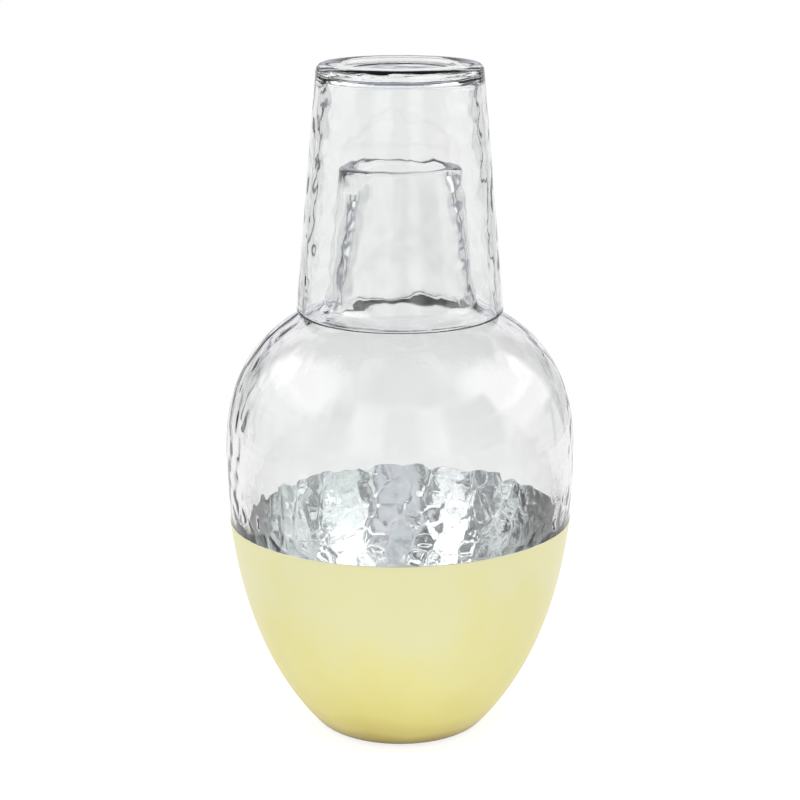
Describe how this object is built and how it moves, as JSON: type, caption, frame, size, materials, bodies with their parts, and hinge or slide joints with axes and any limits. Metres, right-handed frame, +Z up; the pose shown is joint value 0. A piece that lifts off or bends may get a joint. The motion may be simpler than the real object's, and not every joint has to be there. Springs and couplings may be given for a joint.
{
  "type": "bedside carafe with tumbler",
  "caption": "Egg-shaped glass carafe with a hammered inside and a silver and gold dip-coated lower half, closed by a glass tumbler standing upside down over its neck.",
  "frame": {"origin": "centre of the foot, on the surface that the carafe stands on", "axes": "+Z up along the axis of both glasses; X and Y level, and alike because both glasses are round"},
  "size_m": [0.1194, 0.1194, 0.2295],
  "materials": {
    "clear_glass": "clear, smooth outside and hammered inside",
    "silver_mirror": "bright silver, seen through the glass from inside",
    "gold_satin": "pale gold satin lacquer"
  },
  "bodies": {
    "carafe": {"carafe": "clear_glass", "mirror_layer": "silver_mirror", "gold_lacquer": "gold_satin"},
    "tumbler": {"tumbler": "clear_glass"}
  },
  "joints": [
    {"name": "tumbler_lift", "type": "slide", "parent": "carafe", "child": "tumbler", "axis": [0, 0, 1], "range_m": [0, 0.08]}
  ]
}
